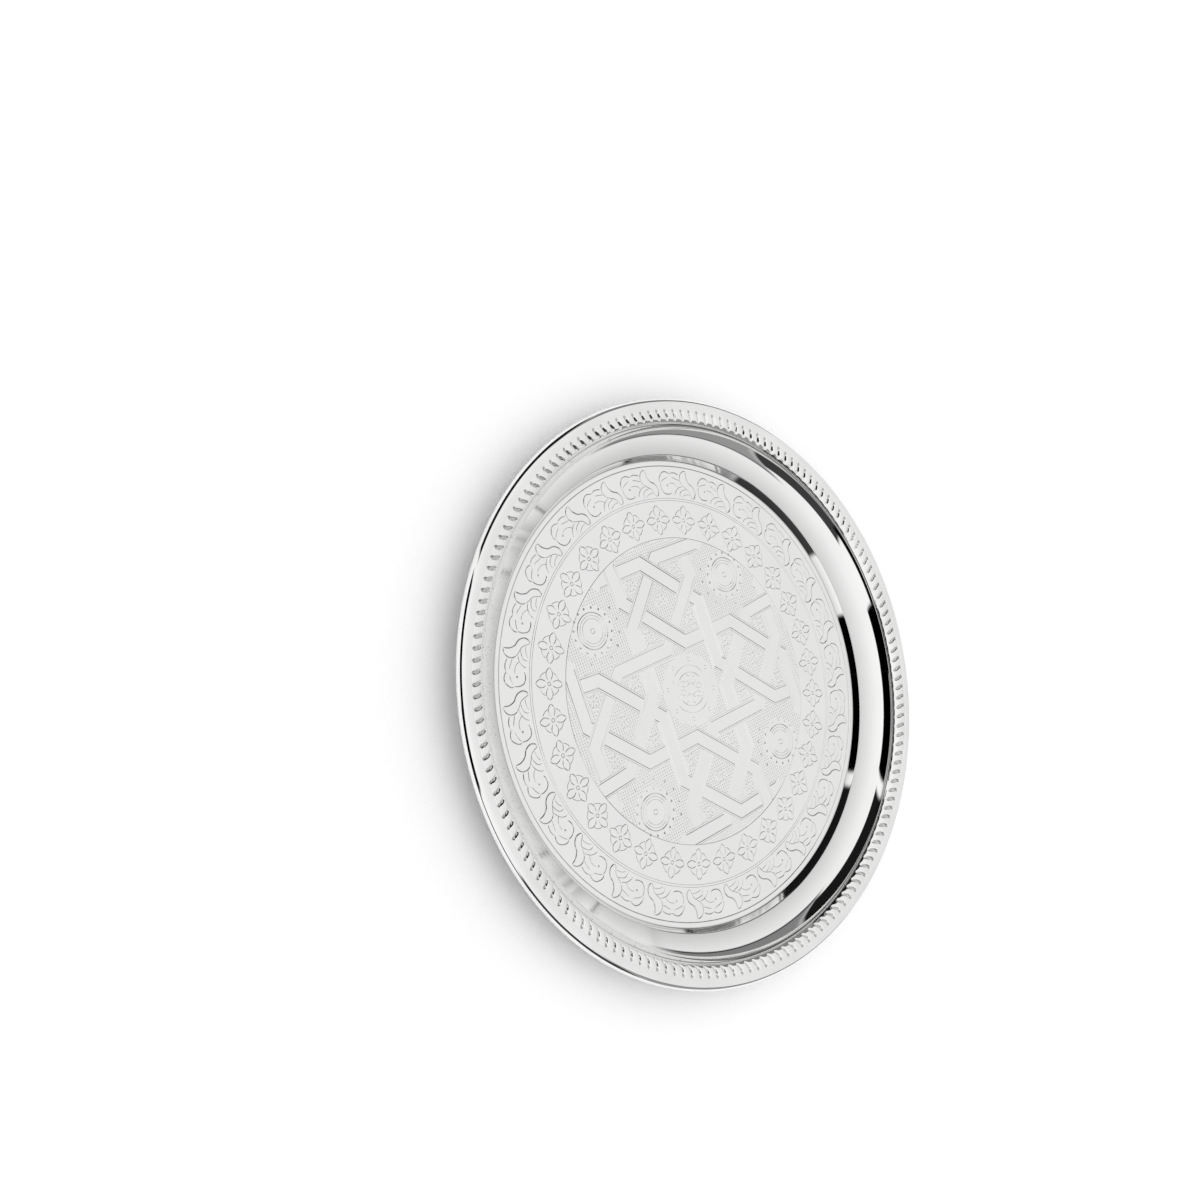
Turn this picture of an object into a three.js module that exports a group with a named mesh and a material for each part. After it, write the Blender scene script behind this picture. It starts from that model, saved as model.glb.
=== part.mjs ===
// Silver salver: a round tray with a flat floor, a stepped ledge and a gadrooned border.
// Units are millimetres. +Z is up. The origin is the centre of the underside of the floor.

import * as THREE from "three";

// ---- driving dimensions ---------------------------------------------------

const SEGMENTS = 72; // steps round the plain turned pieces
const SHEET = 1.0; // thickness of the pressed sheet
const OUTER_R = 150.0; // radius over the border

// Centre line of the pressed sheet from the middle of the floor to the end of the flange.
const SHEET_LINE = [
  [0.0, 0.5],
  [121.0, 0.5], // edge of the flat floor
  [122.1, 1.0],
  [123.1, 3.9], // small steep step
  [124.0, 4.9],
  [131.8, 10.0], // outer edge of the sloping ledge
  [133.7, 11.6],
  [135.7, 14.0], // wall, steeper as it rises
  [136.8, 15.8],
  [137.9, 16.3], // start of the flat flange
];

// The sheet's outer edge rolls under from the end of the flange.
const ROLL_LINE_R = 1.9; // radius of the roll, to the middle of the sheet
const ROLL_CENTRE_R = 146.2;
const ROLL_CENTRE_Z = 14.4;
const ROLL_START = Math.PI / 2;
const ROLL_TURN = (300 * Math.PI) / 180;
const ROLL_STEPS = 9;

const WIRE_R = 1.0; // core wire inside the roll
const WIRE_SIDES = 8;

const LOBES = 164; // lobes round the gadrooned border
const SEAT_Z = 17.1; // underside of the border, just clear of the flange

// Section of the border, from its inner edge over the top to its outer edge and back to the seat.
// r and z follow the crest of a lobe. The groove beside it is `drop` lower and `back` further out.
// turn is how far this ring is turned, as a share of one lobe, which slants the lobes.
const BORDER_LINE = [
  { r: 137.6, z: SEAT_Z, drop: 0.0, back: 0.3, turn: -0.22 },
  { r: 137.1, z: 17.8, drop: 0.0, back: 0.8, turn: -0.22 },
  { r: 137.8, z: 19.0, drop: 0.6, back: 0.5, turn: -0.17 },
  { r: 140.2, z: 19.9, drop: 0.8, back: 0.0, turn: 0.0 },
  { r: 143.1, z: 20.0, drop: 1.4, back: 0.0, turn: 0.2 }, // bottom of the pits
  { r: 144.4, z: 19.9, drop: 0.0, back: 0.0, turn: 0.2 },
  { r: 147.0, z: 20.0, drop: 0.0, back: 0.0, turn: 0.0 }, // plain rounded shoulder
  { r: 149.1, z: 19.0, drop: 0.0, back: 0.0, turn: 0.0 },
  { r: OUTER_R, z: 16.8, drop: 0.0, back: 0.0, turn: 0.0 },
  { r: 149.7, z: 15.6, drop: 0.0, back: 0.0, turn: 0.0 },
  { r: 149.1, z: 15.6, drop: 0.0, back: 0.0, turn: 0.0 },
  { r: 148.7, z: SEAT_Z, drop: 0.0, back: 0.0, turn: 0.0 },
];

// ---- shared helpers -------------------------------------------------------

const root = new THREE.Group();

function addPiece(name, geometry, color, roughness) {
  geometry.computeVertexNormals();
  const material = new THREE.MeshStandardMaterial({ color, metalness: 1.0, roughness });
  const piece = new THREE.Mesh(geometry, material);
  piece.name = name;
  root.add(piece);
}

// Turns a closed outline of [radius, height] points about the Z axis.
function turned(outline) {
  const points = outline.map(([r, z]) => new THREE.Vector2(r, z));
  const geometry = new THREE.LatheGeometry(points, SEGMENTS);
  geometry.rotateX(Math.PI / 2);
  return geometry;
}

// Moves an open line sideways by a distance, to its left as it is walked.
function offsetLine(line, distance) {
  return line.map(([r, z], index) => {
    const before = line[Math.max(index - 1, 0)];
    const after = line[Math.min(index + 1, line.length - 1)];
    const into = new THREE.Vector2(r - before[0], z - before[1]).normalize();
    const out = new THREE.Vector2(after[0] - r, after[1] - z).normalize();
    const along = into.clone().add(out).normalize();
    const reference = into.lengthSq() > 0 ? into : out;
    const stretch = 1 / along.dot(reference);
    return [r - along.y * distance * stretch, z + along.x * distance * stretch];
  });
}

// ---- dish -----------------------------------------------------------------

function dish() {
  const line = SHEET_LINE.slice();
  for (let step = 0; step <= ROLL_STEPS; step += 1) {
    const angle = ROLL_START - (ROLL_TURN * step) / ROLL_STEPS;
    line.push([
      ROLL_CENTRE_R + ROLL_LINE_R * Math.cos(angle),
      ROLL_CENTRE_Z + ROLL_LINE_R * Math.sin(angle),
    ]);
  }
  const upper = offsetLine(line, SHEET / 2);
  const under = offsetLine(line, -SHEET / 2);
  return turned([...under, ...upper.reverse()]);
}

// ---- core wire ------------------------------------------------------------

function rimWire() {
  const outline = [];
  for (let side = 0; side <= WIRE_SIDES; side += 1) {
    const angle = (2 * Math.PI * (side % WIRE_SIDES)) / WIRE_SIDES;
    outline.push([
      ROLL_CENTRE_R + WIRE_R * Math.cos(angle),
      ROLL_CENTRE_Z + WIRE_R * Math.sin(angle),
    ]);
  }
  return turned(outline);
}

// ---- gadrooned border -----------------------------------------------------

function gadroonBorder() {
  const columns = 2 * LOBES; // one on each crest and one in each groove
  const rings = BORDER_LINE.length;
  const positions = [];
  for (let column = 0; column < columns; column += 1) {
    const inGroove = column % 2;
    for (const point of BORDER_LINE) {
      const angle = (2 * Math.PI * (column / 2 + point.turn)) / LOBES;
      const r = point.r + inGroove * point.back;
      const z = point.z - inGroove * point.drop;
      positions.push(r * Math.cos(angle), r * Math.sin(angle), z);
    }
  }
  const faces = [];
  for (let column = 0; column < columns; column += 1) {
    const next = (column + 1) % columns;
    for (let ring = 0; ring < rings; ring += 1) {
      const ringAfter = (ring + 1) % rings;
      const a = column * rings + ring;
      const b = column * rings + ringAfter;
      const c = next * rings + ringAfter;
      const d = next * rings + ring;
      faces.push(a, b, c, a, c, d);
    }
  }
  const geometry = new THREE.BufferGeometry();
  geometry.setAttribute("position", new THREE.Float32BufferAttribute(positions, 3));
  geometry.setIndex(faces);
  return geometry;
}

addPiece("dish", dish(), 0xdfe0e2, 0.12);
addPiece("gadroon_border", gadroonBorder(), 0xe4e5e7, 0.15);
addPiece("rim_wire", rimWire(), 0x8f9398, 0.4);

export default root;
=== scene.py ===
# Looks for the round silver salver: an engraved dish, a gadrooned border and the wire in its rolled edge.
# Lengths inside the shape functions are millimetres and become metres when a mesh is made.

import math

import bpy
import numpy as np
from mathutils import Matrix, Vector
from mathutils.geometry import delaunay_2d_cdt


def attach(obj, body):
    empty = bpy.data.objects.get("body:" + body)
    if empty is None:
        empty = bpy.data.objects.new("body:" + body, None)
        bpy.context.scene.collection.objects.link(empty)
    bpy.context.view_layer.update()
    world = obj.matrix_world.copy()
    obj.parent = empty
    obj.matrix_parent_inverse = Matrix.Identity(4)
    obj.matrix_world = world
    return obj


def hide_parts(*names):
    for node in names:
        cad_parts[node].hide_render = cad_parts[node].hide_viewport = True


MM = 0.001
TAU = 2.0 * math.pi
TINY = 1e-9

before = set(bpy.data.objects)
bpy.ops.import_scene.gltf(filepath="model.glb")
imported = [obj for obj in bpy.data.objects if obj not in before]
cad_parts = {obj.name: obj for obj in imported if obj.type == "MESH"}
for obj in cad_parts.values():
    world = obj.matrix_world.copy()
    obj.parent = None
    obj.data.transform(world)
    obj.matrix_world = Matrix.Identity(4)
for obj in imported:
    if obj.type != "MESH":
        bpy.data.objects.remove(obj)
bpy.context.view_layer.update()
scene = bpy.context.scene
scene.view_settings.view_transform = "Standard"

# ---- camera -----------------------------------------------------------------

UNIT = 162.5 * MM
CAMERA_AT = Vector((-2.796, -0.183, 3.218))  # in UNITs, from the middle of the dish's floor
CAMERA_BACK = Vector((-0.6036, -0.1152, 0.7889))  # away from what the camera looks at
CAMERA_UP = Vector((0.0, 0.9895, 0.1445))
LENS, SENSOR = 39.876, 36.0


def make_camera():
    """The camera at the photograph's viewing angle."""
    data = bpy.data.cameras.new("camera")
    data.sensor_width = SENSOR
    data.lens = LENS
    camera = bpy.data.objects.new("camera", data)
    scene.collection.objects.link(camera)
    back = CAMERA_BACK.normalized()
    right = CAMERA_UP.cross(back).normalized()
    up = back.cross(right)
    place = Matrix((right, up, back)).transposed().to_4x4()
    place.translation = CAMERA_AT * UNIT + Vector((0, 0, FLOOR_TOP * MM))
    camera.matrix_world = place
    scene.camera = camera


# ---- sizes, all in millimetres ----------------------------------------------

SHEET = 1.0  # thickness of the dish's sheet
FLOOR_TOP = 1.0  # height of the engraved floor

STAR_R = 80.6  # edge of the star field
QUATREFOIL_R = 100.0  # edge between the quatrefoil band and the flower band
FLOWER_R = 118.9  # outer edge of the flower band
ROUND_STEPS = 416  # points round every circle of the dish: 4, 26 and 32 all divide it

# ---- mesh helpers -----------------------------------------------------------


def make_object(name, points, faces, materials, indices=None, smooth=None):
    """A mesh object from points in millimetres."""
    mesh = bpy.data.meshes.new(name)
    mesh.from_pydata([tuple(c * MM for c in point) for point in points], [], faces)
    for material in materials:
        mesh.materials.append(material)
    if indices is not None:
        mesh.polygons.foreach_set("material_index", indices)
    if smooth is None:
        smooth = [True] * len(faces)
    mesh.polygons.foreach_set("use_smooth", smooth)
    mesh.validate()
    mesh.update()
    made = bpy.data.objects.new(name, mesh)
    scene.collection.objects.link(made)
    return made


class Welder:
    """Collects points and faces, and gives points at one place the same number."""

    GRID = 400.0  # steps per millimetre

    def __init__(self):
        self.points = []
        self.faces = []
        self.indices = []
        self.smooth = []
        self.known = {}

    def point(self, x, y, z):
        key = (round(x * self.GRID), round(y * self.GRID), round(z * self.GRID))
        for dx in (0, -1, 1):
            for dy in (0, -1, 1):
                found = self.known.get((key[0] + dx, key[1] + dy, key[2]))
                if found is not None:
                    return found
        self.known[key] = len(self.points)
        self.points.append((x, y, z))
        return self.known[key]

    def face(self, corners, index, smooth):
        ring = [c for i, c in enumerate(corners) if c != corners[i - 1]]
        if len(ring) >= 3 and len(set(ring)) == len(ring):
            self.faces.append(ring)
            self.indices.append(index)
            self.smooth.append(smooth)


# ---- engraved lines ---------------------------------------------------------


TIP_SHARE = 0.25  # a cut's width at its ends, as a share of its full width
TIP_RUN = 4.0  # how slowly it widens from there
MITRE = 0.5  # least cosine taken for a corner, so that its sides don't shoot out


class Stroke:
    """One engraved line: points in the plane with the cut's half width at each."""

    def __init__(self, points, half, taper=True):
        self.points = np.array(points, float)
        self.closed = bool(np.hypot(*(self.points[0] - self.points[-1])) < 1e-6)
        count = len(self.points)
        self.half = np.full(count, half, float)
        if taper and not self.closed:
            run = np.r_[0.0, np.cumsum(np.hypot(*np.diff(self.points, axis=0).T))]
            ends = np.minimum(run, run[-1] - run)
            self.half *= np.clip(TIP_SHARE + ends / (TIP_RUN * half), TIP_SHARE, 1.0)


def smooth_line(points, step=0.8):
    """A Catmull-Rom curve through the points, cut into short straight runs."""
    given = [np.array(p, float) for p in points]
    given = [2 * given[0] - given[1]] + given + [2 * given[-1] - given[-2]]
    line = []
    for a, b, c, d in zip(given, given[1:], given[2:], given[3:]):
        runs = max(1, round(float(np.hypot(*(c - b))) / step))
        for i in range(runs):
            t = i / runs
            square = (2 * a - 5 * b + 4 * c - d) * t**2
            cube = (3 * b - a - 3 * c + d) * t**3
            line.append(0.5 * (2 * b + (c - a) * t + square + cube))
    line.append(given[-2])
    return [tuple(p) for p in line]


def circle(cx, cy, r, steps):
    turns = [TAU * (i % steps) / steps for i in range(steps + 1)]
    return [(cx + r * math.cos(t), cy + r * math.sin(t)) for t in turns]


def turn_points(points, angle):
    c, s = math.cos(angle), math.sin(angle)
    return [(x * c - y * s, x * s + y * c) for x, y in points]


def edge_lines(stroke):
    """The two sides of a stroke's cut."""
    p = stroke.points
    if stroke.closed:
        before = np.vstack([p[-2], p[:-1]])
        after = np.vstack([p[1:], p[1]])
    else:
        before = np.vstack([p[0], p[:-1]])
        after = np.vstack([p[1:], p[-1]])
    into = p - before
    out = after - p
    into /= np.maximum(np.hypot(*into.T), TINY)[:, None]
    out /= np.maximum(np.hypot(*out.T), TINY)[:, None]
    along = into + out
    along /= np.maximum(np.hypot(*along.T), TINY)[:, None]
    reach = np.clip((along * np.where(np.abs(into) > 0, into, out)).sum(1), MITRE, 1.0)
    side = np.stack([-along[:, 1], along[:, 0]], 1) * (stroke.half / reach)[:, None]
    return p + side, p - side


CHUNK = 500  # points handled at a time, to save memory


def nearest_cut(points, strokes):
    """The nearest cut to each point: its distance as a share of the half width, and the half width."""
    best = np.zeros(len(points))
    width = np.zeros(len(points))
    starts = np.vstack([s.points[:-1] for s in strokes])
    ends = np.vstack([s.points[1:] for s in strokes])
    half_a = np.concatenate([s.half[:-1] for s in strokes])
    half_b = np.concatenate([s.half[1:] for s in strokes])
    run = ends - starts
    length = np.maximum((run**2).sum(1), 1e-12)
    for first in range(0, len(points), CHUNK):
        chunk = points[first : first + CHUNK]
        rel = chunk[:, None, :] - starts[None]
        t = np.clip((rel * run[None]).sum(2) / length[None], 0.0, 1.0)
        gap = np.hypot(*np.moveaxis(rel - t[..., None] * run[None], 2, 0))
        half = half_a[None] * (1 - t) + half_b[None] * t
        share = gap / half
        pick = share.argmin(1)
        rows = np.arange(len(chunk))
        best[first : first + CHUNK] = share[rows, pick]
        width[first : first + CHUNK] = half[rows, pick]
    return best, width


CUT_SLOPE = 0.9  # depth of a cut as a share of its half width
LEVEL_SHARE = 0.985  # from this share of the half width outwards a point lies level
CUT_SHARE = 0.97  # a face whose middle is nearer than this belongs to the cut
STROKE_MARGIN = 2.5  # strokes this near a sector are drawn with it
DRAWING_GAP = 1e-4  # points nearer than this are joined


def sector_outline(count, first_angle, r_in, r_out):
    """Corners of one of `count` equal sectors of a ring, or of a disc if r_in is 0."""
    wedge = TAU / count
    steps = ROUND_STEPS // count
    turns = [first_angle + wedge * i / steps for i in range(steps + 1)]
    outer = [(r_out * math.cos(t), r_out * math.sin(t)) for t in turns]
    if r_in == 0:
        return [(0.0, 0.0)] + outer
    return [(r_in * math.cos(t), r_in * math.sin(t)) for t in reversed(turns)] + outer


def in_sector(flat, count, first_angle, r_in, r_out, margin=0.0):
    """True for points inside the sector's many-sided outline, or within a margin of it."""
    wedge = TAU / count
    step = TAU / ROUND_STEPS
    r = np.hypot(*flat.T)
    turn = (np.arctan2(flat[:, 1], flat[:, 0]) - first_angle - wedge / 2 + math.pi) % TAU - math.pi
    reach = np.abs((turn + wedge / 2) % step - step / 2)
    chord = math.cos(step / 2) / np.cos(reach)
    sides = np.abs(turn) * r < wedge / 2 * r + margin
    return sides & (r < r_out * chord + margin) & (r > r_in * chord - margin)


def micron_key(x, y):
    return round(x * 1e3), round(y * 1e3)


def sector_faces(region, strokes, punches):
    """Draws the strokes and punch marks of a sector: points, depths, triangles and material numbers."""
    used = [s for s in strokes if in_sector(s.points, *region, margin=STROKE_MARGIN).any()]
    verts = sector_outline(*region)
    edges = [(i, (i + 1) % len(verts)) for i in range(len(verts))]
    for stroke in used:
        stroke_edges(stroke, verts, edges)
    bottoms = set()
    if punches is not None:
        for x, y in punches[in_sector(punches, *region, margin=2 * PUNCH_PITCH)]:
            bottoms.add(micron_key(x, y))
            base = len(verts)
            verts.append((x, y))
            verts.extend((x + cx, y + cy) for cx, cy in PUNCH_CORNERS)
            edges.extend((base + 1 + k, base + 1 + (k + 1) % 4) for k in range(4))
    drawn = delaunay_2d_cdt([Vector(v) for v in verts], edges, [], 0, DRAWING_GAP)
    flat = np.array([tuple(v) for v in drawn[0]])
    share, half = nearest_cut(flat, used)
    drop = np.clip(1.0 - share, 0.0, 1.0) * half * CUT_SLOPE
    drop[share > LEVEL_SHARE] = 0.0
    faces = np.array([f for f in drawn[2] if len(f) == 3])
    faces = faces[in_sector(flat[faces].mean(1), *region)]
    middles = flat[faces].mean(1)
    indices = np.where(nearest_cut(middles, used)[0] < CUT_SHARE, CUT, POLISHED)
    if bottoms:
        sunk = np.array([micron_key(x, y) in bottoms for x, y in flat])
        drop[sunk] = PUNCH_DEPTH
        indices[sunk[faces].any(1)] = MATTED
    return flat, drop, faces, indices


def engraved_sector(weld, count, first_angle, r_in, r_out, strokes, punches=None):
    """Cuts the strokes into one sector of a flat ring and repeats it `count` times round the dish.

    `punches` are the middles of square punch marks."""
    flat, drop, faces, indices = sector_faces((count, first_angle, r_in, r_out), strokes, punches)
    wedge = TAU / count
    for copy in range(count):
        c, s = math.cos(wedge * copy), math.sin(wedge * copy)
        turned = flat @ np.array([[c, s], [-s, c]])
        numbers = {}
        for face, index in zip(faces, indices):
            corners = []
            for v in face:
                if v not in numbers:
                    numbers[v] = weld.point(turned[v, 0], turned[v, 1], FLOOR_TOP - drop[v])
                corners.append(numbers[v])
            (ax, ay), (bx, by), (dx, dy) = flat[face]
            if (bx - ax) * (dy - ay) - (by - ay) * (dx - ax) < 0:
                corners.reverse()
            weld.face(corners, int(index), False)


def stroke_edges(stroke, verts, edges):
    """Adds a stroke's middle line, its two sides and its square ends to the drawing."""
    bases = []
    for line in edge_lines(stroke) + (stroke.points,):
        bases.append(len(verts))
        points = line[:-1] if stroke.closed else line
        count = len(points)
        verts.extend(map(tuple, points))
        edges.extend((bases[-1] + i, bases[-1] + i + 1) for i in range(count - 1))
        if stroke.closed:
            edges.append((bases[-1] + count - 1, bases[-1]))
    if not stroke.closed:
        for end in (0, len(stroke.points) - 1):
            edges.append((bases[0] + end, bases[2] + end))
            edges.append((bases[2] + end, bases[1] + end))


POLISHED, CUT, MATTED, UNDERSIDE = 0, 1, 2, 3  # material numbers on the dish
FINE, BOLD = 0.17, 0.26  # half widths of engraved lines

QUATREFOILS = 32
QUATREFOIL_ANGLE = -3.84  # degrees to the middle of the first quatrefoil
FLOWERS = 26
FLOWER_ANGLE = 6.92  # degrees to the first flower
FLOWER_MID = 109.3  # the flower band's middle circle
NEIGHBOURS = 2  # motifs drawn on each side of a sector's own, because they reach over its edges

# Each motif is drawn beside a point on its band: x runs clockwise round the band, y runs outwards.


def on_band(points, r_mid, angle):
    """Bends a motif round the band and sets it down at an angle."""
    placed = []
    for x, y in points:
        t = angle - x / r_mid
        placed.append(((r_mid + y) * math.cos(t), (r_mid + y) * math.sin(t)))
    return placed


PETAL_TIP = (0.0, 7.9)
PETAL_LEFT = [(-0.9, 2.0), (-1.7, 3.6), (-1.9, 5.0), (-1.3, 6.7), PETAL_TIP]
PETAL_RIGHT = [PETAL_TIP, (1.3, 6.7), (1.9, 5.0), (1.7, 3.6), (0.9, 2.0)]
PETAL_BOW = [(2.2, 5.6), (3.6, 4.9), (4.9, 3.5), (5.6, 1.9)]


def quatrefoil():
    """Four pointed petals with a short bow between each pair."""
    lines = []
    for quarter in range(4):
        angle = quarter * math.pi / 2
        for part in (PETAL_LEFT, PETAL_RIGHT):
            lines.append((smooth_line(turn_points(part, angle)), 0.85 * BOLD))
        lines.append((smooth_line(turn_points(PETAL_BOW, angle)), FINE))
    lines.append((circle(0, 0, 0.9, 10), FINE))
    return lines


LEAF_TIP = (-11.4, -7.4)
LEAF_INNER = [
    *((-16.9, 7.1), (-18.5, 6.7), (-19.9, 5.5), (-20.6, 4.1)),
    *((-20.8, 2.4), (-20.4, 0.8), (-19.5, -0.5)),
]
LEAF_UNDER = [
    *((-19.5, -0.5), (-18.3, -1.4), (-16.7, -2.2), (-15.0, -3.1)),
    *((-13.8, -4.3), (-13.0, -5.7), (-12.2, -7.1), LEAF_TIP),
]
LEAF_OUTER = [
    *((-16.7, 6.9), (-16.6, 4.5), (-16.1, 2.9), (-15.2, 1.4), (-14.2, 0.4), (-12.8, -0.2)),
    *((-11.4, -1.2), (-10.4, -2.6), (-9.8, -4.3), (-10.1, -5.9), (-10.8, -7.1), LEAF_TIP),
]
HEAD_TOP = (-0.6, 4.8)
HEAD_LEFT = [
    *((-7.9, 0.2), (-8.3, 1.4), (-7.9, 2.8), (-6.9, 4.3), (-5.7, 5.4)),
    *((-4.1, 5.8), (-2.4, 5.4), (-1.6, 4.9), HEAD_TOP),
]
HEAD_RIGHT = [HEAD_TOP, (0.4, 5.3), (2.0, 5.4), (3.7, 5.0), (5.1, 4.4)]
FOLD_LEFT = [(-7.1, 0.4), (-6.1, 1.2), (-4.5, 2.0), (-2.4, 2.8)]
FOLD_RIGHT = [(0.2, 2.9), (2.0, 2.5), (3.7, 1.9), (5.5, 1.5)]
BULB = [
    *((-7.6, 0.0), (-7.8, -1.6), (-7.5, -3.3), (-6.7, -4.9)),
    *((-5.5, -5.9), (-3.7, -6.3), (-1.6, -6.1), (-0.4, -5.5)),
]
BULB_TOP = [(-2.0, -0.4), (0.0, -0.2), (2.0, -0.6), (3.7, -1.8), (4.7, -3.1)]
SCROLL_A = [(1.9, -6.7), (2.0, -5.5), (2.9, -4.1), (4.1, -2.9), (5.7, -2.0), (7.3, -1.6)]
SCROLL_B = [(5.5, -7.1), (5.5, -5.7), (6.1, -4.5), (7.3, -3.7), (9.0, -3.1), (10.4, -2.8)]
SCROLL_C = [(6.9, -7.3), (8.1, -6.5), (9.4, -5.9), (11.4, -5.5), (12.8, -5.5)]
FLOWER_LINES = (
    (LEAF_INNER, BOLD),
    (LEAF_UNDER, FINE),
    (LEAF_OUTER, 1.25 * BOLD),
    (HEAD_LEFT, BOLD),
    (HEAD_RIGHT, BOLD),
    (FOLD_LEFT, FINE),
    (FOLD_RIGHT, FINE),
    (BULB, BOLD),
    (BULB_TOP, 0.8 * FINE),
    (SCROLL_A, FINE),
    (SCROLL_B, FINE),
    (SCROLL_C, 0.8 * FINE),
)


def flower_motif():
    """A horn-shaped leaf, a lobed flower head beside it, and three arcs of scroll under the head."""
    drawn = [(smooth_line(line), half) for line, half in FLOWER_LINES]
    drawn.append((circle(-3.1, -1.5, 0.4, 6), FINE))
    return drawn


def band_strokes(motif, repeats, r_mid, first_angle):
    strokes = []
    for copy in range(-NEIGHBOURS, NEIGHBOURS + 1):
        angle = first_angle + TAU * copy / repeats
        for line, half in motif:
            strokes.append(Stroke(on_band(line, r_mid, angle), half))
    return strokes


def ring_stroke(r, half):
    return Stroke(circle(0, 0, r, ROUND_STEPS), half)


# ---- star field -------------------------------------------------------------

STAR_TURN = math.radians(-27.2)  # how far the pattern is turned on the dish
STRAP_HALF = 3.4
STRAP_MARGIN = 4.4
STRAP = [(25.0, -73.9), (46.1, -53.6), (46.1, -12.2), (21.6, 12.2), (21.6, 56.1), (34.1, 70.5)]
SHARPEST = 0.3  # least cosine taken for a strap's corner
RUN_LENGTH = 0.5  # a strap's edge is looked at in runs this long
RUNS_KEPT = 8  # and drawn in runs of this many
STRAP_INSET = 0.8  # the straps end this far inside the star field
UNDER_GAP = 0.2  # an edge stops this far short of the strap over it
UNDER_REACH = 14.0  # a crossing hides nothing farther along the strap than this
BEND = 1e-3  # a corner turning more than this is kept


def star_straps():
    straps = []
    for quarter in range(4):
        for mirror in (1, -1):
            line = [(x, y * mirror) for x, y in STRAP]
            straps.append(turn_points(line, STAR_TURN + quarter * math.pi / 2))
    return straps


def crossing(a, b, c, d):
    """Where segment ab crosses cd, as shares of each, or None."""
    rx, ry = b[0] - a[0], b[1] - a[1]
    sx, sy = d[0] - c[0], d[1] - c[1]
    den = rx * sy - ry * sx
    if abs(den) < TINY:
        return None
    t = ((c[0] - a[0]) * sy - (c[1] - a[1]) * sx) / den
    u = ((c[0] - a[0]) * ry - (c[1] - a[1]) * rx) / den
    if 0 < t < 1 and 0 < u < 1:
        return t, u
    return None


def side_lines(line, gap):
    """The strap's edge at a distance to one side, with its corners mitred."""
    out = []
    for i, (x, y) in enumerate(line):
        ax, ay = line[max(i - 1, 0)]
        bx, by = line[min(i + 1, len(line) - 1)]
        into = Vector((x - ax, y - ay)) if i else Vector((bx - x, by - y))
        away = Vector((bx - x, by - y)) if i < len(line) - 1 else into
        into.normalize()
        away.normalize()
        side = Vector((-into.y - away.y, into.x + away.x)).normalized()
        reach = gap / max(SHARPEST, side.dot(Vector((-into.y, into.x))))
        out.append((x + side.x * reach, y + side.y * reach))
    return out


def gap_to_line(points, line):
    """Distance of each point from a line of straight runs, and how far along the line it falls."""
    starts = np.array(line[:-1])
    run = np.array(line[1:]) - starts
    length = np.hypot(*run.T)
    before = np.r_[0.0, np.cumsum(length)[:-1]]
    rel = points[:, None, :] - starts[None]
    t = np.clip((rel * run[None]).sum(2) / (length**2)[None], 0.0, 1.0)
    gap = np.hypot(*np.moveaxis(rel - t[..., None] * run[None], 2, 0))
    pick = gap.argmin(1)
    rows = np.arange(len(points))
    return gap[rows, pick], (before[None] + t * length[None])[rows, pick]


def weave(straps):
    """For each strap, the stretches (strap over it, place along it) where it passes under another."""
    unders = [[] for _ in straps]
    for i, first in enumerate(straps):
        meets = []
        run = 0.0
        for a, b in zip(first, first[1:]):
            length = math.hypot(b[0] - a[0], b[1] - a[1])
            for j, second in enumerate(straps):
                if j == i:
                    continue
                for c, d in zip(second, second[1:]):
                    hit = crossing(a, b, c, d)
                    if hit:
                        meets.append((run + hit[0] * length, j))
            run += length
        meets.sort()
        for order, (place, j) in enumerate(meets):
            if (order + i) % 2:
                unders[i].append((place, j))
    return unders


def fine_runs(line):
    """The points of a line cut into short runs."""
    fine = []
    for a, b in zip(line, line[1:]):
        runs = max(1, round(math.dist(a, b) / RUN_LENGTH))
        for k in range(runs):
            fine.append((a[0] + (b[0] - a[0]) * k / runs, a[1] + (b[1] - a[1]) * k / runs))
    fine.append(line[-1])
    return fine


def seen(fine, strap, hidden, straps):
    """Which points of a strap's edge lie in the star field and not under another strap."""
    spots = np.array(fine)
    _, along = gap_to_line(spots, strap)
    shown = np.hypot(*spots.T) < STAR_R - STRAP_INSET
    for place, j in hidden:
        over, _ = gap_to_line(spots, straps[j])
        shown &= ~((over < STRAP_MARGIN + UNDER_GAP) & (np.abs(along - place) < UNDER_REACH))
    return shown


def stretches(shown):
    """First and last places of each stretch of at least two points that are seen."""
    found = []
    start = None
    for k in range(len(shown) + 1):
        if k < len(shown) and shown[k]:
            if start is None:
                start = k
            continue
        if start is not None and k - start > 1:
            found.append((start, k - 1))
        start = None
    return found


def star_strokes(straps, unders):
    """Edges of the straps, broken where a strap passes under another."""
    strokes = []
    for strap, hidden in zip(straps, unders):
        for gap, half in ((STRAP_HALF, BOLD), (STRAP_MARGIN, 0.6 * FINE)):
            for side in (gap, -gap):
                fine = fine_runs(side_lines(strap, side))
                for start, stop in stretches(seen(fine, strap, hidden, straps)):
                    kept = [m for m in range(start + 1, stop) if m % RUNS_KEPT == 0 or bent(fine, m)]
                    line = [fine[m] for m in (start, *kept, stop)]
                    strokes.append(Stroke(line, half, taper=False))
    return strokes


def bent(line, k):
    a, b, c = line[k - 1], line[k], line[k + 1]
    return abs((b[0] - a[0]) * (c[1] - b[1]) - (b[1] - a[1]) * (c[0] - b[0])) > BEND


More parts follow.
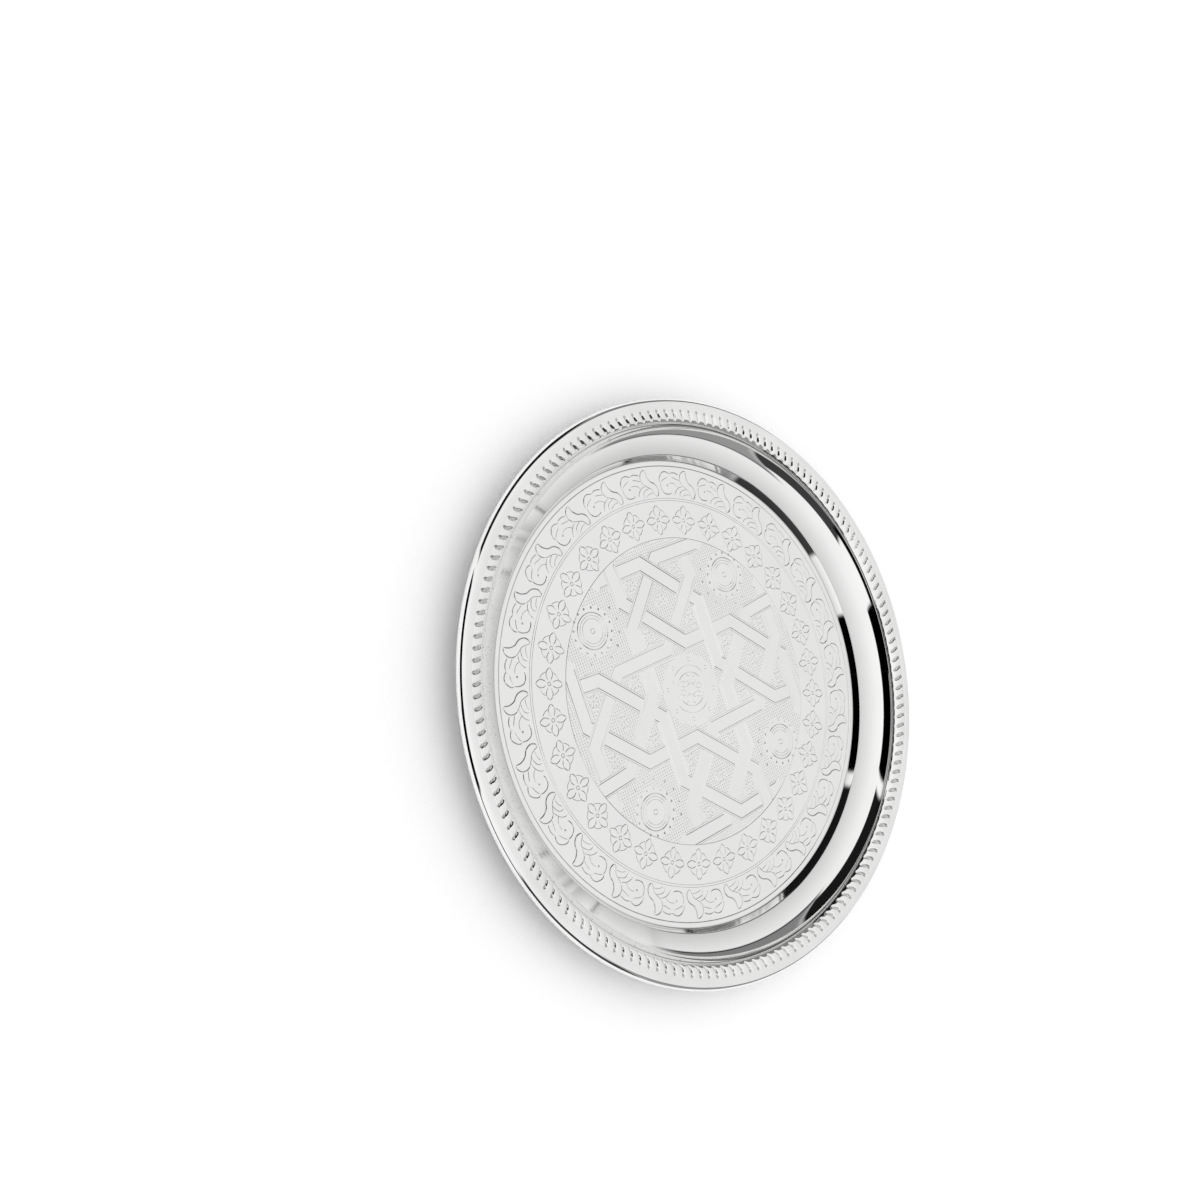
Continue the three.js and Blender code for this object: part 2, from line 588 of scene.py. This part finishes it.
ROUNDEL_AT = 68.0
ROUNDEL_R = 9.3
ROUNDEL_RINGS = (
    # radius, half width of the line
    (ROUNDEL_R, BOLD),
    (ROUNDEL_R - 1.5, 0.7 * FINE),
    (ROUNDEL_R - 3.0, 0.7 * FINE),
    (1.3, FINE),
)
ROUNDEL_DOTS, ROUNDEL_DOTS_R = 16, ROUNDEL_R + 2.5
ROUNDEL_PLAIN_R = ROUNDEL_R + 3.6  # no punch marks nearer than this
ARC_DOTS = 3  # dots on each side of the middle of the arc on a roundel's inner side
ARC_R, ARC_STEP = 16.6, math.radians(24)
DOT_R = 0.36
CELLS = ((55.0, 32.5), (55.0, -32.5), (34.1, 34.1), (34.6, 12.5), (34.6, -12.5))
CELL_SCALE = 0.5  # size of a cell's rosette beside the quatrefoils of the band
CELL_PLAIN_R = 3.9
PEARLS, PEARLS_AT, PEARL_R = 8, 15.6, 0.9
MIDDLE_RINGS = ((12.4, 0.7 * FINE), (8.8, FINE), (3.0, 0.7 * FINE))
MIDDLE_PETALS = 8
MIDDLE_PETAL = [(3.4, 0.0), (4.8, 1.3), (6.4, 1.3), (7.9, 0.0), (6.4, -1.3), (4.8, -1.3), (3.4, 0.0)]
MIDDLE_PLAIN_R = 18.5


def rosette(cx, cy, scale, angle):
    """A smaller copy of the band's quatrefoil, with every second point of its lines."""
    lines = []
    for line, _ in quatrefoil():
        placed = turn_points([(x * scale, y * scale) for x, y in line[::2]], angle)
        lines.append(Stroke([(cx + x, cy + y) for x, y in placed], 0.8 * FINE))
    return lines


def dot(x, y):
    return Stroke(circle(x, y, DOT_R, 6), 0.8 * DOT_R)


def roundel(cx, cy, turned):
    """Rings inside a ring of dots, with an arc of dots towards the middle of the dish."""
    lines = [Stroke(circle(cx, cy, r, max(12, int(r * 5))), half) for r, half in ROUNDEL_RINGS]
    for k in range(ROUNDEL_DOTS):
        t = TAU * k / ROUNDEL_DOTS
        lines.append(dot(cx + ROUNDEL_DOTS_R * math.cos(t), cy + ROUNDEL_DOTS_R * math.sin(t)))
    for k in range(-ARC_DOTS, ARC_DOTS + 1):
        t = turned + math.pi + k * ARC_STEP
        lines.append(dot(cx + ARC_R * math.cos(t), cy + ARC_R * math.sin(t)))
    return lines


def medallion():
    """The middle of the star: pearls, rings and petals."""
    lines = []
    for k in range(PEARLS):
        t = TAU * k / PEARLS
        lines.append(Stroke(circle(PEARLS_AT * math.cos(t), PEARLS_AT * math.sin(t), PEARL_R, 8), FINE))
    for r, half in MIDDLE_RINGS:
        lines.append(Stroke(circle(0, 0, r, 16 * max(1, round(r / 4))), half))
    for k in range(MIDDLE_PETALS):
        t = STAR_TURN + TAU * k / MIDDLE_PETALS
        lines.append(Stroke(turn_points(MIDDLE_PETAL, t), 0.7 * FINE))
    return lines


def star_ornaments():
    """The star field's ornaments, and the circles (x, y, radius) round them that stay plain."""
    lines = []
    plain = []
    for quarter in range(4):
        turned = STAR_TURN + quarter * math.pi / 2
        (cx, cy), = turn_points([(ROUNDEL_AT, 0.0)], turned)
        lines += roundel(cx, cy, turned)
        plain.append((cx, cy, ROUNDEL_PLAIN_R))
        for cx, cy in turn_points(CELLS, turned):
            lines += rosette(cx, cy, CELL_SCALE, turned)
            plain.append((cx, cy, CELL_PLAIN_R))
    lines += medallion()
    plain.append((0.0, 0.0, MIDDLE_PLAIN_R))
    return lines, plain


PUNCH_PITCH = 1.45  # between the punch marks of the matted ground
PUNCH_HALF = 0.36
PUNCH_DEPTH = 0.24
MATT_INSET = 1.4  # the matted ground ends this far inside the star field
MATT_GAP = 0.35  # and this far from a strap


def ground_mask(points, straps, plain):
    """True where the ground between the straps is matted."""
    flat = np.hypot(*points.T) < STAR_R - MATT_INSET
    for strap in straps:
        gap, _ = gap_to_line(points, strap)
        flat &= gap > STRAP_MARGIN + MATT_GAP
    for cx, cy, r in plain:
        flat &= np.hypot(points[:, 0] - cx, points[:, 1] - cy) > r
    return flat


def punch_marks(straps, plain):
    """Middles of the punch marks of the matted ground, in slanting rows."""
    reach = int(STAR_R / PUNCH_PITCH) + 1
    rows = range(-reach, reach + 1)
    grid = [((i + 0.5) * PUNCH_PITCH, (j + 0.5) * PUNCH_PITCH) for i in rows for j in rows]
    grid = np.array(turn_points(grid, STAR_TURN + math.pi / 4))
    return grid[ground_mask(grid, straps, plain)]


PUNCH_CORNERS = turn_points(
    [(x * PUNCH_HALF, y * PUNCH_HALF) for x, y in ((1, 1), (-1, 1), (-1, -1), (1, -1))],
    STAR_TURN + math.pi / 4,
)
STAR_LINES = star_straps()
STAR_MARKS, STAR_PLAIN = star_ornaments()

# ---- turned surfaces --------------------------------------------------------

LEAD = 0.12  # a point this far outside each end of an arc keeps the shading of the flat beyond it true
FILLET_STEP = math.radians(7)
AXIS_R = 1e-6  # a point nearer the axis than this is on it


def filleted(corners):
    """A line in (r, z) through the corners, each (r, z, radius) rounded by an arc."""
    line = [corners[0][:2]]
    for (ax, az, _), (bx, bz, radius), (cx, cz, _) in zip(corners, corners[1:], corners[2:]):
        into = Vector((bx - ax, bz - az)).normalized()
        away = Vector((cx - bx, cz - bz)).normalized()
        turn = into.angle_signed(away)
        trim = radius * math.tan(abs(turn) / 2)
        start = Vector((bx, bz)) - into * trim
        line.append(tuple(start - into * LEAD))
        runs = max(2, math.ceil(abs(turn) / FILLET_STEP))
        centre = start + Vector((-into.y, into.x)) * (radius if turn < 0 else -radius)
        for k in range(runs + 1):
            spoke = Matrix.Rotation(-turn * k / runs, 2) @ (start - centre)
            line.append(tuple(centre + spoke))
        line.append(tuple(Vector((bx, bz)) + away * (trim + LEAD)))
    line.append(corners[-1][:2])
    return line


def arc(cr, cz, radius, start, stop, steps):
    """Points of an arc in (r, z), angles in degrees."""
    turns = [math.radians(start + (stop - start) * k / steps) for k in range(steps + 1)]
    return [(cr + radius * math.cos(t), cz + radius * math.sin(t)) for t in turns]


def turned_faces(weld, line, steps, index_of):
    """Faces of a line turned about the axis; a point on the axis closes the end."""
    rings = []
    for r, z in line:
        if r < AXIS_R:
            rings.append([weld.point(0.0, 0.0, z)] * steps)
            continue
        turns = [TAU * i / steps for i in range(steps)]
        rings.append([weld.point(r * math.cos(t), r * math.sin(t), z) for t in turns])
    for k, (first, second) in enumerate(zip(rings, rings[1:])):
        for i in range(steps):
            j = (i + 1) % steps
            weld.face([first[i], second[i], second[j], first[j]], index_of(k), True)


WALL_R = 13.2  # radius of the hollow wall in section
FLANGE_TOP = 16.8
ROLL_AT = (146.2, 14.4)
ROLL_OUT, ROLL_IN = 2.4, 1.4
ROLL_SWEEP = 300.0
ROLL_POLISHED = 13  # runs of the roll that are polished like the top
WALL_TURNS = [math.radians(a) for a in (32, 38, 44, 50, 56, 62, 66)]  # slope of the wall going up
WALL_FOOT = (131.4, 10.3)
# corners of the section: radius, height, rounding
STEP = [(FLOWER_R, FLOOR_TOP, 0.0), (120.7, FLOOR_TOP, 1.5), (123.2, 4.75, 1.8)]
BROW = (136.75, FLANGE_TOP, 0.45)
UNDER_MIDDLE = [(0.0, 0.0), (40.0, 0.0), (80.0, 0.0)]


def dish_section():
    """The dish's section outside the engraved floor: its top side, the rolled edge and its underside."""
    middle_r = WALL_FOOT[0] - WALL_R * math.sin(WALL_TURNS[0])
    middle_z = WALL_FOOT[1] + WALL_R * math.cos(WALL_TURNS[0])
    wall = [(middle_r + WALL_R * math.sin(t), middle_z - WALL_R * math.cos(t)) for t in WALL_TURNS]
    foot = filleted(STEP + [WALL_FOOT + (0.0,)])
    brow = filleted([wall[-1] + (0.0,), BROW, (ROLL_AT[0], FLANGE_TOP, 0.0)])
    upper = foot[:-1] + wall[:-1] + brow
    lower = UNDER_MIDDLE + [below(upper, k) for k in range(0, len(upper), 2)]
    roll = arc(*ROLL_AT, ROLL_OUT, 90, 90 - ROLL_SWEEP, 22)[1:]
    back = arc(*ROLL_AT, ROLL_IN, 90 - ROLL_SWEEP, 90, 14)
    return upper, roll + back, lower


def below(line, k):
    """The point one sheet thickness beneath a point of the section."""
    a = Vector(line[max(k - 1, 0)])
    b = Vector(line[min(k + 1, len(line) - 1)])
    along = (b - a).normalized()
    return (line[k][0] + along.y * SHEET, line[k][1] - along.x * SHEET)


SHADED_CORNERS = (
    # radius, half width and depth of the painted shade in the corners of the dish, which also stands for
    # tarnish
    (120.9, 0.4, 0.5),
    (123.4, 0.3, 0.45),
    (136.6, 0.3, 0.8),
)
CORNER_SHADE_FROM = 0.9  # height above which the painted shade is laid
QUATREFOIL_MID = (STAR_R + QUATREFOIL_R) / 2 - 0.9  # the quatrefoil band's middle circle
# plain rings beside the bands: radius, half width of the line
STAR_RING = (STAR_R - 0.9, FINE)
QUATREFOIL_RING = (QUATREFOIL_R - 0.4, 0.6 * FINE)
FLOWER_RINGS = ((QUATREFOIL_R + 0.8, 0.6 * FINE), (FLOWER_R - 0.8, BOLD))


def corner_shade_and_tarnish(r, z):
    """How much painted shade, which also stands for tarnish, lies at a point of the dish."""
    if z <= CORNER_SHADE_FROM:
        return 0.0
    return max(much * math.exp(-(((r - at) / width) ** 2)) for at, width, much in SHADED_CORNERS)


def build_dish(materials):
    weld = Welder()
    star = star_strokes(STAR_LINES, weave(STAR_LINES)) + STAR_MARKS + [ring_stroke(*STAR_RING)]
    engraved_sector(weld, 4, STAR_TURN, 0.0, STAR_R, star, punch_marks(STAR_LINES, STAR_PLAIN))
    first = math.radians(QUATREFOIL_ANGLE)
    quatrefoils = band_strokes(quatrefoil(), QUATREFOILS, QUATREFOIL_MID, first)
    quatrefoils.append(ring_stroke(*QUATREFOIL_RING))
    engraved_sector(weld, QUATREFOILS, first, STAR_R, QUATREFOIL_R, quatrefoils)
    first = math.radians(FLOWER_ANGLE)
    flowers = band_strokes(flower_motif(), FLOWERS, FLOWER_MID, first)
    flowers += [ring_stroke(r, half) for r, half in FLOWER_RINGS]
    engraved_sector(weld, FLOWERS, first, QUATREFOIL_R, FLOWER_R, flowers)
    upper, roll, lower = dish_section()
    section = upper + roll + lower[::-1]
    first_dull = len(upper) - 1 + ROLL_POLISHED
    turned_faces(weld, section, ROUND_STEPS, lambda k: UNDERSIDE if k >= first_dull else POLISHED)
    dish = make_object("dish_engraved", weld.points, weld.faces, materials, weld.indices, weld.smooth)
    # painted shade in the corners of the dish, also standing for tarnish, kept at each point
    set_hollow(dish, [corner_shade_and_tarnish(math.hypot(x, y), z) for x, y, z in weld.points])
    return dish


# ---- gadrooned border -------------------------------------------------------

LOBES = 164
LOBE_ANGLE = -1.0  # degrees to the groove of the first lobe
COLUMNS = 12  # points across one lobe
LOBE_INNER, LOBE_OUTER = 137.2, 143.9
LOBE_SLANT = 0.9  # degrees that a groove leans from its inner to its outer end
PIT_R, PIT_HALF, PIT_DEPTH = 142.9, 0.85, 0.8
SHOULDER_AT, SHOULDER_R = (146.6, 16.6), 3.4
BORDER_TOP = 20.0
CROWDING = 1.35  # power that gathers a lobe's points at its groove
ROUND_DROP, ROUND_POWER = 0.35, 2.5  # how a lobe rounds off from its crest
GROOVE_DROP, GROOVE_HALF = 1.1, 1.3
EDGE_DROP, EDGE_HALF = 0.2, 0.22  # the line outside the lobes
SLOT_SHADE, SLOT_HALF = 0.7, 0.9  # the painted shade along a groove, which also stands for tarnish
TOP_FROM, TOP_TO = 17.2, 146.0  # lobes are cut above this height and inside this radius
LOWEST = 17.15  # nothing is cut below this


INNER_FACE = [(137.6, 17.1), (137.2, 17.25), (137.3, 17.5), (137.8, 18.05), (138.4, 18.65)]
LOBE_RADII = [
    *(139.1, 139.8, 140.3, 140.8, 141.6, 142.1, 142.4, 142.7),
    *(143.0, 143.3, 143.6, 143.85, 144.1, 144.4, 145.2),
]
OUTER_FOOT = [(149.5, 15.6), (149.15, 15.62), (148.95, 16.3), (148.7, 17.1), (143.0, 17.1)]
ARCH_AT, ARCH = 142.0, 0.09  # the lobes fall off inside this radius


def border_section():
    """The border's section at the crest of a lobe, from its inner foot round to the foot again."""
    top = [(r, BORDER_TOP - 0.02 - ARCH * max(0.0, ARCH_AT - r) ** 2) for r in LOBE_RADII]
    return INNER_FACE + top + arc(*SHOULDER_AT, SHOULDER_R, 90, -15, 13) + OUTER_FOOT


def smooth_step(low, high, value):
    t = np.clip((value - low) / (high - low), 0.0, 1.0)
    return t * t * (3 - 2 * t)


def border_ring(r, z, across, from_groove, pitch):
    """One ring of the border at a point of its section: the ring's points and the painted shade in its
    grooves and pits, which also stands for tarnish.
    """
    lean = float(np.clip((r - LOBE_INNER) / (PIT_R - LOBE_INNER), 0.0, 1.0))
    lean = 0.5 * lean + 0.5 * lean * lean * (3 - 2 * lean)
    theta = across + math.radians(LOBE_ANGLE + LOBE_SLANT * lean)
    gap = np.abs(from_groove) * r
    off_crest = 1.0 - 2 * np.abs(from_groove) / pitch
    on_lobe = 1.0 - smooth_step(PIT_R + 0.1, LOBE_OUTER, r)
    is_top = z > TOP_FROM and r < TOP_TO
    saddle = 1.0 - 0.5 * smooth_step(141.0, 142.2, r)
    saddle *= smooth_step(138.2, 139.8, r)
    rounded = ROUND_DROP * smooth_step(137.6, 139.2, r) * off_crest**ROUND_POWER
    groove = GROOVE_DROP * saddle * (1 - smooth_step(0.0, 1.0, gap / GROOVE_HALF))
    beyond = r - PIT_R
    reach = np.hypot(gap / PIT_HALF, beyond / (PIT_HALF if beyond < 0 else 1.4 * PIT_HALF))
    pit = 1 - smooth_step(0.35, 1.2, reach)
    drop = np.maximum((rounded + groove) * on_lobe, PIT_DEPTH * pit)
    drop += EDGE_DROP * math.exp(-(((r - LOBE_OUTER - 0.15) / EDGE_HALF) ** 2))
    if not is_top:
        drop = drop * 0.0
    low = np.maximum(z - drop, min(z, LOWEST))
    # painted shade along the grooves and in the pits, also standing for tarnish
    slot = SLOT_SHADE * saddle * on_lobe * (1 - smooth_step(0.1, SLOT_HALF, gap))
    shade_and_tarnish = np.maximum(smooth_step(0.15, 0.75, pit), slot) if is_top else 0.0 * pit
    return zip(r * np.cos(theta), r * np.sin(theta), low), shade_and_tarnish


def build_border(materials):
    section = border_section()
    pitch = TAU / LOBES
    share = np.arange(COLUMNS) / COLUMNS * 2 - 1
    off_groove = np.sign(share) * np.abs(share) ** CROWDING / 2
    across = (off_groove[None] + np.arange(LOBES)[:, None]).ravel() * pitch
    from_groove = np.tile(off_groove, LOBES) * pitch
    points = []
    hollows = []
    for r, z in section:
        ring, shade_and_tarnish = border_ring(r, z, across, from_groove, pitch)
        points += ring
        hollows += list(shade_and_tarnish)
    count = LOBES * COLUMNS
    rings = len(section)
    faces = []
    for k in range(rings):
        first, second = k * count, (k + 1) % rings * count
        for i in range(count):
            j = (i + 1) % count
            faces.append((first + i, second + i, second + j, first + j))
    border = make_object("border_gadrooned", points, faces, materials)
    set_hollow(border, hollows)
    return border


# ---- wire in the rolled edge ------------------------------------------------

WIRE_R = 1.0
WIRE_SIDES = 14


def build_wire(materials):
    weld = Welder()
    section = arc(*ROLL_AT, WIRE_R, 360, 0, WIRE_SIDES)
    turned_faces(weld, section, ROUND_STEPS // 2, lambda k: 0)
    return make_object("wire_drawn", weld.points, weld.faces, materials)


# ---- materials --------------------------------------------------------------


class Shader:
    """A material's node tree with short calls for the nodes used here."""

    def __init__(self, name):
        self.material = bpy.data.materials.new(name)
        self.material.use_nodes = True
        self.tree = self.material.node_tree
        self.surface = self.tree.nodes["Principled BSDF"]

    def add(self, kind, settings=None, **values):
        node = self.tree.nodes.new(kind)
        for key, value in (settings or {}).items():
            setattr(node, key, value)
        for key, value in values.items():
            self.put(node.inputs[key.replace("_", " ")], value)
        return node

    def put(self, socket, value):
        if isinstance(value, bpy.types.NodeSocket):
            self.tree.links.new(value, socket)
        else:
            socket.default_value = value

    def place(self):
        return self.add("ShaderNodeNewGeometry").outputs["Position"]

    def noise(self, where, scale, detail=2.0, roughness=0.5):
        node = self.add("ShaderNodeTexNoise", Vector=where, Scale=scale, Detail=detail, Roughness=roughness)
        return node.outputs["Fac"]

    def stretched(self, where, scale):
        return self.add("ShaderNodeMapping", Vector=where, Scale=scale).outputs["Vector"]

    def spread(self, value, low, high):
        """Maps 0.3..0.7 of a noise to low..high."""
        node = self.add("ShaderNodeMapRange", Value=value)
        node.inputs["From Min"].default_value = 0.3
        node.inputs["From Max"].default_value = 0.7
        node.inputs["To Min"].default_value = low
        node.inputs["To Max"].default_value = high
        return node.outputs["Result"]

    def tint(self, value, dark, light):
        node = self.add("ShaderNodeValToRGB", Fac=value)
        node.color_ramp.elements[0].color = (*dark, 1.0)
        node.color_ramp.elements[1].color = (*light, 1.0)
        return node.outputs["Color"]

    def bump(self, height, distance, under=None):
        node = self.add("ShaderNodeBump", Height=height, Distance=distance)
        if under is not None:
            self.put(node.inputs["Normal"], under)
        return node.outputs["Normal"]

    def turned(self, where):
        """(distance from the axis, 0, height): what is the same all round the dish."""
        parts = self.add("ShaderNodeSeparateXYZ", Vector=where)
        flat = self.add("ShaderNodeCombineXYZ", X=parts.outputs["X"], Y=parts.outputs["Y"])
        length = self.add("ShaderNodeVectorMath", {"operation": "LENGTH"})
        self.put(length.inputs[0], flat.outputs["Vector"])
        ring = self.add("ShaderNodeCombineXYZ", X=length.outputs["Value"], Z=parts.outputs["Z"])
        return ring.outputs["Vector"]


WIPE_SCALE = (500.0, 3000.0, 900.0)
WIPE_DEPTH = 0.0000006  # in metres, like the depths of the turning lines
TURNING_SCALE = (4500.0, 1.0, 4500.0)
POLISHED_LINES, SPUN_LINES, DRAWN_LINES = 0.0000004, 0.000012, 0.00002
LIGHTER_FROM, LIGHTER_TO = 0.045, 0.1  # metres from the axis, over which the lightening fades
MIX_A, MIX_B, MIX_RESULT = 6, 7, 2  # sockets of a Mix node that mixes colours


def silver(name, dark, light, rough, haze_scale=35.0, lines=0.0):
    """Polished silver: slow haze, fine wiping scratches, and turning lines round the dish."""
    s = Shader(name)
    where = s.place()
    haze = s.noise(where, haze_scale, detail=4.0)
    wipes = s.noise(s.stretched(where, WIPE_SCALE), 1.0, detail=3.0)
    s.put(s.surface.inputs["Metallic"], 1.0)
    s.put(s.surface.inputs["Base Color"], s.tint(s.spread(haze, 0.0, 1.0), dark, light))
    s.put(s.surface.inputs["Roughness"], s.spread(haze, rough[0], rough[1]))
    normal = s.bump(wipes, WIPE_DEPTH)
    if lines:
        turning = s.noise(s.stretched(s.turned(where), TURNING_SCALE), 1.0, detail=2.0)
        normal = s.bump(turning, lines, under=normal)
    s.put(s.surface.inputs["Normal"], normal)
    return s


def paint_shade_and_tarnish(s, dark):
    """Paints a grey shade into the corners and grooves, which also stands for tarnish that polishing
    doesn't reach.
    """
    hollow = s.add("ShaderNodeAttribute", {"attribute_name": "hollow"}).outputs["Fac"]
    mix = s.add("ShaderNodeMix", {"data_type": "RGBA"})
    bright = s.surface.inputs["Base Color"].links[0].from_socket
    s.put(mix.inputs["Factor"], hollow)
    s.put(mix.inputs[MIX_A], bright)
    mix.inputs[MIX_B].default_value = (*dark, 1.0)
    s.put(s.surface.inputs["Base Color"], mix.outputs[MIX_RESULT])


def lighter_middle(s, bright):
    """Makes the colour lighter towards the middle of the dish."""
    parts = s.add("ShaderNodeSeparateXYZ", Vector=s.turned(s.place()))
    much = s.add("ShaderNodeMapRange", {"interpolation_type": "SMOOTHSTEP"}, Value=parts.outputs["X"])
    much.inputs["From Min"].default_value = LIGHTER_FROM
    much.inputs["From Max"].default_value = LIGHTER_TO
    mix = s.add("ShaderNodeMix", {"data_type": "RGBA"}, Factor=much.outputs["Result"])
    mix.inputs[MIX_A].default_value = (*bright, 1.0)
    s.put(mix.inputs[MIX_B], s.surface.inputs["Base Color"].links[0].from_socket)
    s.put(s.surface.inputs["Base Color"], mix.outputs[MIX_RESULT])


def set_hollow(piece, values):
    hollow = piece.data.attributes.new("hollow", "FLOAT", "POINT")
    hollow.data.foreach_set("value", values)


def drawn_steel():
    """Drawn wire: fine lines along its length, which runs round the dish."""
    return silver("steel_wire", (0.42, 0.42, 0.43), (0.55, 0.55, 0.56), (0.28, 0.42), 200.0, DRAWN_LINES)


def floor_material():
    s = Shader("paper_floor")
    where = s.place()
    grain = s.noise(where, 900.0, detail=3.0)
    white = s.tint(s.spread(grain, 0.0, 1.0), (0.90, 0.90, 0.90), (0.93, 0.93, 0.93))
    s.put(s.surface.inputs["Base Color"], white)
    s.put(s.surface.inputs["Roughness"], 0.9)
    s.put(s.surface.inputs["Normal"], s.bump(grain, 0.00005))
    # clear from below, so that the underside of the salver can be looked at
    mix = s.add("ShaderNodeMixShader", Fac=s.add("ShaderNodeNewGeometry").outputs["Backfacing"])
    s.put(mix.inputs[1], s.surface.outputs["BSDF"])
    s.put(mix.inputs[2], s.add("ShaderNodeBsdfTransparent").outputs["BSDF"])
    s.put(s.tree.nodes["Material Output"].inputs["Surface"], mix.outputs["Shader"])
    return s


# ---- room -------------------------------------------------------------------

FLOOR_GAP = 0.1  # the floor lies this far under the dish, so the two faces don't share a plane
FLOOR_HOLE_R = 119.5  # the floor is open under the flat bottom, which could only mirror the dark gap
FLOOR_R = 6000.0
FLOOR_STEPS = 64


def make_floor(material):
    weld = Welder()
    turned_faces(weld, [(FLOOR_HOLE_R, -FLOOR_GAP), (FLOOR_R, -FLOOR_GAP)], FLOOR_STEPS, lambda k: 0)
    floor = make_object("floor", weld.points, weld.faces, [material])


CARDS = (
    # middle (degrees from -X towards +Y), half width, lowest and highest elevation at the middle,
    # rise of both per degree, degrees over which the two upright edges fade, level
    (-13.0, 14.0, 3.0, 42.0, 0.0, 3.0, 0.0),
    (21.0, 22.0, 8.0, 42.0, 0.0, 3.0, 0.0),
    (-43.0, 17.0, 2.0, 15.0, 0.0, 3.0, 0.0),
    (77.0, 28.0, 0.0, 36.0, 0.0, 3.0, 0.01),
    (-79.5, 23.5, 3.0, 33.0, 0.0, 3.0, 0.05),
    (126.5, 21.5, -30.0, 24.7, -0.68, 8.0, 0.26),
    (126.5, 21.5, 23.2, 26.7, -0.68, 8.0, 0.05),
    (-128.5, 25.5, -30.0, 24.5, 0.68, 8.0, 0.36),
    (-128.5, 25.5, 24.0, 28.0, 0.68, 8.0, 0.1),
)
CARD_EDGE = 3.0  # degrees over which a card's upper and lower edges fade
LIGHT_MIDDLE, LIGHT_TOWARDS_X = 0.92, -0.12  # level of the room's light, and its change towards +X
FLOOR_FILL = 0.5  # added for rays scattered by matt surfaces, so that the paper is white


def make_world():
    """Soft white all round, with dark cards standing in fixed directions of the room."""
    world = bpy.data.worlds.new("studio")
    scene.world = world
    world.use_nodes = True
    tree = world.node_tree
    nodes, links = tree.nodes, tree.links

    def math_node(operation, *values):
        node = nodes.new("ShaderNodeMath")
        node.operation = operation
        for socket, value in zip(node.inputs, values):
            if isinstance(value, bpy.types.NodeSocket):
                links.new(value, socket)
            else:
                socket.default_value = value
        return node.outputs["Value"]

    def edge(value, low, high):
        node = nodes.new("ShaderNodeMapRange")
        node.interpolation_type = "SMOOTHSTEP"
        links.new(value, node.inputs["Value"])
        node.inputs["From Min"].default_value = low
        node.inputs["From Max"].default_value = high
        return node.outputs["Result"]

    where = nodes.new("ShaderNodeTexCoord")
    parts = nodes.new("ShaderNodeSeparateXYZ")
    links.new(where.outputs["Generated"], parts.inputs["Vector"])
    x, y, z = (parts.outputs[axis] for axis in "XYZ")
    bearing = math_node("DEGREES", math_node("ARCTAN2", y, math_node("MULTIPLY", x, -1.0)))
    height = math_node("DEGREES", math_node("ARCSINE", z))
    light = None
    for middle, half, low, high, rise, fade, level in CARDS:
        off = math_node("WRAP", math_node("SUBTRACT", bearing, middle), 180.0, -180.0)
        level_height = math_node("MULTIPLY_ADD", off, -rise, height)
        outside = edge(math_node("ABSOLUTE", off), half - fade / 2, half + fade / 2)
        above = edge(level_height, high - CARD_EDGE / 2, high + CARD_EDGE / 2)
        under = math_node("SUBTRACT", 1.0, edge(level_height, low - CARD_EDGE / 2, low + CARD_EDGE / 2))
        clear = math_node("MAXIMUM", outside, math_node("MAXIMUM", above, under))
        clear = math_node("MULTIPLY_ADD", clear, 1.0 - level, level)
        light = clear if light is None else math_node("MULTIPLY", light, clear)
    # the broad light overhead is brightest towards -X and falls off towards +X
    fall = math_node("MULTIPLY_ADD", x, LIGHT_TOWARDS_X, LIGHT_MIDDLE)
    light = math_node("MULTIPLY", light, fall)
    rays = nodes.new("ShaderNodeLightPath").outputs
    shown = math_node("MAXIMUM", light, rays["Is Camera Ray"])
    total = math_node("MULTIPLY_ADD", rays["Is Diffuse Ray"], FLOOR_FILL, shown)
    links.new(total, nodes["Background"].inputs["Color"])


# ---- the salver -------------------------------------------------------------


def build_salver():
    bright = ((0.91, 0.91, 0.905), (0.94, 0.94, 0.935))
    polished = silver("silver_polished", *bright, (0.03, 0.05), lines=POLISHED_LINES)
    # the cuts' darker colour is painted shade in the engraved grooves
    cut = silver("silver_cut", (0.5, 0.5, 0.495), (0.66, 0.66, 0.655), (0.12, 0.19), haze_scale=300.0)
    matted = silver("silver_matted", (0.8, 0.8, 0.795), (0.88, 0.88, 0.875), (0.1, 0.17), haze_scale=500.0)
    spun = silver("silver_spun", (0.80, 0.80, 0.795), (0.88, 0.88, 0.875), (0.16, 0.26), lines=SPUN_LINES)
    dish = build_dish([s.material for s in (polished, cut, matted, spun)])
    # the cuts' painted shade and the matted ground are lighter towards the middle of the dish
    lighter_middle(cut, (0.88, 0.88, 0.875))
    lighter_middle(matted, (0.91, 0.91, 0.905))
    # painted near-black shade in the corners of the dish, also standing for tarnish
    paint_shade_and_tarnish(polished, (0.12, 0.12, 0.118))
    gadroon = silver("silver_gadroon", (0.88, 0.88, 0.875), (0.95, 0.95, 0.945), (0.04, 0.08))
    # painted grey shade in the grooves and pits of the border, also standing for tarnish
    paint_shade_and_tarnish(gadroon, (0.46, 0.46, 0.456))
    border = build_border([gadroon.material])
    wire = build_wire([drawn_steel().material])
    for piece, node in ((dish, "dish"), (border, "gadroon_border"), (wire, "rim_wire")):
        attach(piece, "root")
        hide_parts(node)


make_camera()
make_world()
make_floor(floor_material().material)
build_salver()
